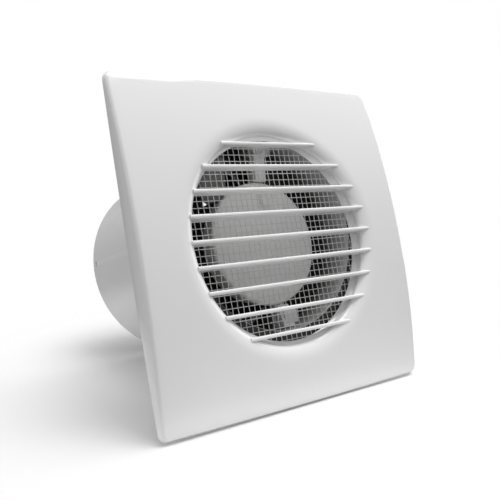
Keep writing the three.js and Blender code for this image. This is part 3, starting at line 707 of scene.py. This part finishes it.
def make_pod():
    inner = POD_RADIUS - POD_WALL
    collar_profile = [
        (inner, COLLAR_REAR), (POD_RADIUS, COLLAR_REAR), (POD_RADIUS, POD_MOUTH), (inner, POD_MOUTH),
    ]
    collar = mesh_object("pod_collar", *turned(collar_profile, (0, -COVER_DROP)), GREY)
    finish_piece(collar, "casing", ["motor_bracket"])
    half = SHELF_WIDTH / 2
    shelf_rear = SHELF_FRONT - SHELF_THICKNESS
    shelf_shape = box_shape(-half, half, SHELF_LOW, SHELF_HIGH, shelf_rear, SHELF_FRONT)
    shelf = mesh_object("terminal_shelf", *shelf_shape, GREY)
    finish_piece(bevelled(shelf, 0.3), "casing")

    front = COLLAR_REAR - 0.3
    skirt_front = COLLAR_REAR - 0.1
    shaft_hole = 6.5
    profile = [
        (shaft_hole, POD_FLOOR - 2), (POD_RADIUS - 3, POD_FLOOR - 2), (POD_RADIUS - 0.9, POD_FLOOR - 1.1),
        (POD_RADIUS, POD_FLOOR + 1), (POD_RADIUS, front), (inner - 0.3, front), (inner - 0.3, skirt_front),
        (inner - 1.7, skirt_front), (inner - 1.7, front - 1), (inner, front - 3),
        (inner, POD_FLOOR), (shaft_hole, POD_FLOOR),
    ]
    housing = mesh_object("pod_housing", *turned(profile, (0, -COVER_DROP)), DARK)
    finish_piece(housing, "casing", ["motor_housing"])

    for name, level, seat in FEET:
        make_arm(name, level, seat)

    edge = 1.9  # radius of the disc's rounded edge
    skirt = inner - 0.3
    skirt_rear = CAP_FRONT - 5.4
    cap = [(0, CAP_FRONT)]
    cap += [(CAP_RADIUS - edge + edge * math.sin(a), CAP_FRONT - edge + edge * math.cos(a))
            for a in [math.radians(10 * i) for i in range(10)]]
    cap += [(CAP_RADIUS - 0.3, CAP_FRONT - 1.95), (skirt, CAP_FRONT - 1.95)]
    cap += [(skirt, skirt_rear), (0, skirt_rear)]
    disc = mesh_object("pod_disc", *turned(cap, (0, -COVER_DROP), closed=False), GREY)
    finish_piece(disc, "casing", ["pod_cap"])
    hood_shape = box_shape(HOOD_LEFT, HOOD_RIGHT, HOOD_LOW, HOOD_HIGH, CAP_FRONT - 0.5, CAP_FRONT + 1.4)
    hood = mesh_object("pod_hood", *hood_shape, GREY)
    finish_piece(bevelled(hood, 0.8, 4), "casing")


# ---- Impeller ----


def between(ends, share):
    start, end = ends
    return start + (end - start) * share


def vane_shape(turn):
    """Sections on cylinders about the axis, from inside the hub's wall to the tip."""
    stations = 12
    steps = [i / 16 - 0.5 for i in range(17)]
    points = []
    for station in range(stations):
        share = station / (stations - 1)
        radius = HUB_RADIUS - 0.8 + (TIP_RADIUS - HUB_RADIUS + 0.8) * share
        pitch = math.radians(between(VANE_ANGLE, share))
        chord = between(VANE_CHORD, share)
        lean = math.radians(VANE_LEAN) * share

        def point(along, thickness):
            across = VANE_CAMBER * (1 - (2 * along) ** 2) + thickness
            around = along * chord * math.cos(pitch) - across * math.sin(pitch)
            axial = along * chord * math.sin(pitch) + across * math.cos(pitch)
            angle = around / radius + lean + turn
            middle = (IMPELLER_FRONT + IMPELLER_REAR) / 2 - 0.5
            return radius * math.cos(angle), radius * math.sin(angle), middle + axial

        half = [0.25 + 0.5 * math.sqrt(max(1 - (2 * along) ** 2, 0)) for along in steps]
        points += [point(along, -thick) for along, thick in zip(steps, half)]
        points += [point(along, thick) for along, thick in reversed(list(zip(steps, half)))]
    count = 2 * len(steps)
    faces = grid_faces(stations, count)
    faces.append(tuple(range(count)))
    faces.append(tuple(range((stations - 1) * count, stations * count)))
    return points, faces


def make_impeller():
    shaft_bore = 2.15
    inner = HUB_RADIUS - 2
    web = IMPELLER_FRONT - 2  # the back of the hub's front wall
    hub = [
        (shaft_bore, IMPELLER_REAR), (5, IMPELLER_REAR), (6, web), (inner - 0.4, web), (inner, web - 0.4),
        (inner, IMPELLER_REAR + 0.2), (inner + 0.2, IMPELLER_REAR), (HUB_RADIUS - 0.2, IMPELLER_REAR),
        (HUB_RADIUS, IMPELLER_REAR + 0.2), (HUB_RADIUS, web), (HUB_RADIUS - 0.6, IMPELLER_FRONT - 0.6),
        (inner, IMPELLER_FRONT), (shaft_bore, IMPELLER_FRONT),
    ]
    shapes = [turned(hub, sides=128)]
    for i in range(VANE_COUNT):
        shapes.append(vane_shape((i + VANE_PHASE) / VANE_COUNT * math.tau))
    spoke_points, spoke_faces = box_shape(5, inner + 0.1, -0.6, 0.6, IMPELLER_REAR + 6, web + 0.2)
    for i in range(SPOKE_COUNT):
        turn = (i + 0.5) / SPOKE_COUNT * math.tau
        points = [(x * math.cos(turn) - y * math.sin(turn), x * math.sin(turn) + y * math.cos(turn), z)
                  for x, y, z in spoke_points]
        shapes.append((points, spoke_faces))
    obj = mesh_object("impeller_moulding", *combined(*shapes), DARK, sharp=40)
    finish_piece(obj, "rotating", ["impeller"])


make_cover()
make_screen()
make_casing()
make_pod()
make_impeller()

# ---- CAD pieces that stay, with their finishes ----

CARRIED = {
    "stator_core": LAMINATED,
    "rotor": LAMINATED,
    "terminal_block": NYLON,
    "thrust_washer_front": NYLON,
    "thrust_washer_rear": NYLON,
    "lead_1": BLUE,
    "lead_2": BLUE,
    "cable_clamp": GREY,
    "bush_front": BRONZE,
    "bush_rear": BRONZE,
}
for name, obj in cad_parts.items():
    if name.startswith("coil"):
        finish = COPPER
    elif name.startswith("terminal_screw"):
        finish = BRONZE
    else:
        finish = CARRIED.get(name, STEEL)
    obj.data.materials.clear()
    obj.data.materials.append(finish)
    bevelled(obj, 0.12, 2)

# ---- Resting place: the cover's lower rear edge and the spigot's lower rear rim ----

cover_low, cover_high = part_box("front_cover")
casing_low, casing_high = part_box("duct_casing")
front_contact = Vector((0, cover_high[1], cover_low[2]))
rear_contact = Vector((0, casing_high[1], -SPIGOT_RADIUS * MM))
run = rear_contact - front_contact
lean = math.atan2(run.z, run.y)
floor_up = Vector((0, -math.sin(lean), math.cos(lean)))
floor_back = Vector((0, math.cos(lean), math.sin(lean)))


def in_room(right, back, up):
    """A point given from the middle of the footprint, level with the floor. Metres."""
    middle = front_contact + run * 0.5
    return middle + Vector((right, 0, 0)) + floor_back * back + floor_up * up


def make_floor():
    """A pale disc that fades into the white surroundings."""
    radius = 0.5
    sides = 96
    grey = 0.78
    fade_start = 0.08
    fade_end = 0.19
    mesh = bpy.data.meshes.new("floor")
    points = [in_room(radius * math.cos(i / sides * math.tau), radius * math.sin(i / sides * math.tau), 0)
              for i in range(sides)]
    mesh.from_pydata(points, [], [tuple(range(sides))])
    floor = bpy.data.objects.new("floor", mesh)
    scene.collection.objects.link(floor)
    material, tree, shader = new_material("pale_floor")
    shader.inputs["Base Color"].default_value = (grey, grey, grey, 1)
    shader.inputs["Roughness"].default_value = 0.6
    place = node(tree, "ShaderNodeTexCoord", (-1000, -200))
    distance = node(tree, "ShaderNodeVectorMath", (-700, -200), operation="DISTANCE")
    distance.inputs[1].default_value = in_room(0, 0, 0)
    tree.links.new(place.outputs["Object"], distance.inputs[0])
    fade = node(tree, "ShaderNodeMapRange", (-400, -200), interpolation_type="SMOOTHSTEP")
    fade.inputs["From Min"].default_value = fade_start
    fade.inputs["From Max"].default_value = fade_end
    fade.inputs["To Min"].default_value = 1
    fade.inputs["To Max"].default_value = 0
    tree.links.new(distance.outputs["Value"], fade.inputs["Value"])
    tree.links.new(fade.outputs["Result"], shader.inputs["Alpha"])
    mesh.materials.append(material)


make_floor()

# ---- Light and camera ----


def softbox(name, corner, along, centre, width, height, radiance):
    """A rectangular light that faces centre. corner is its lower right corner as seen from the object,
    and along is the way its lower edge runs from there."""
    facing = (centre - corner).normalized()
    rise = along.cross(facing).normalized()
    rise = rise if rise.z > 0 else -rise
    middle = corner + along.normalized() * width / 2 + rise * height / 2
    facing = (centre - middle).normalized()
    side = along - facing * along.dot(facing)
    side.normalize()
    data = bpy.data.lights.new(name, "AREA")
    data.shape = "RECTANGLE"
    data.size = width
    data.size_y = height
    data.energy = radiance * math.pi * width * height
    light = bpy.data.objects.new(name, data)
    scene.collection.objects.link(light)
    turned_to = Matrix((side, facing.cross(side) * -1, -facing)).transposed()
    light.matrix_world = Matrix.Translation(middle) @ turned_to.to_4x4()


heart = Vector((0, 0.02, 0))
KEY_CORNER = Vector((0.431, -0.569, 0.586))  # the key light's lower right corner
KEY_EDGE = Vector((-0.895, -0.092, 0.437))  # and the way its lower edge runs
softbox("key", KEY_CORNER, KEY_EDGE, heart, 0.6, 0.45, 5.8)
softbox("overhead", in_room(0.45, -0.55, 1), Vector((-1, 0, 0)), in_room(0, 0, 0), 0.9, 0.9, 1.8)
softbox("left", Vector((-0.72, -0.1, 0)), Vector((0, 1, 0)), heart, 0.6, 0.6, 1.1)
softbox("right", Vector((0.7, -0.35, -0.05)), Vector((0, 1, 0)), heart, 0.7, 0.8, 2)

world = bpy.data.worlds.new("surroundings")
world.use_nodes = True
scene.world = world
sky = world.node_tree
background = sky.nodes["Background"]
direction = node(sky, "ShaderNodeTexCoord", (-1200, -200))
upness = node(sky, "ShaderNodeVectorMath", (-1000, -200), operation="DOT_PRODUCT")
upness.inputs[1].default_value = floor_up
dome = node(sky, "ShaderNodeMapRange", (-800, -200))
dome.inputs["From Min"].default_value = -0.2
dome.inputs["From Max"].default_value = 1
dome.inputs["To Min"].default_value = 0.1
dome.inputs["To Max"].default_value = 0.7
path = node(sky, "ShaderNodeLightPath", (-800, 200))
level = node(sky, "ShaderNodeMix", (-400, 0))
level.inputs["B"].default_value = 1
sky.links.new(direction.outputs["Generated"], upness.inputs[0])
sky.links.new(upness.outputs["Value"], dome.inputs["Value"])
sky.links.new(dome.outputs["Result"], level.inputs["A"])
sky.links.new(path.outputs["Is Camera Ray"], level.inputs["Factor"])
sky.links.new(level.outputs["Result"], background.inputs["Strength"])
background.inputs["Color"].default_value = (1, 1, 1, 1)
scene.view_settings.view_transform = "Standard"
scene.view_settings.look = "None"

CAMERA_PLACE = Vector((-202.8, -246.9, -39.2)) * MM
CAMERA_AIM = Vector((-16.3, 0, -8.7)) * MM
CAMERA_UP = Vector((0.0786, -0.1806, 0.9804))
camera_data = bpy.data.cameras.new("camera")
camera_data.lens = 47.9
camera_data.sensor_width = 36
camera_data.clip_start = 0.01
camera = bpy.data.objects.new("camera", camera_data)
scene.collection.objects.link(camera)
forward = (CAMERA_AIM - CAMERA_PLACE).normalized()
right = forward.cross(CAMERA_UP).normalized()
upward = right.cross(forward)
turned_to_fan = Matrix((right, upward, -forward)).transposed().to_4x4()
camera.matrix_world = Matrix.Translation(CAMERA_PLACE) @ turned_to_fan
scene.camera = camera
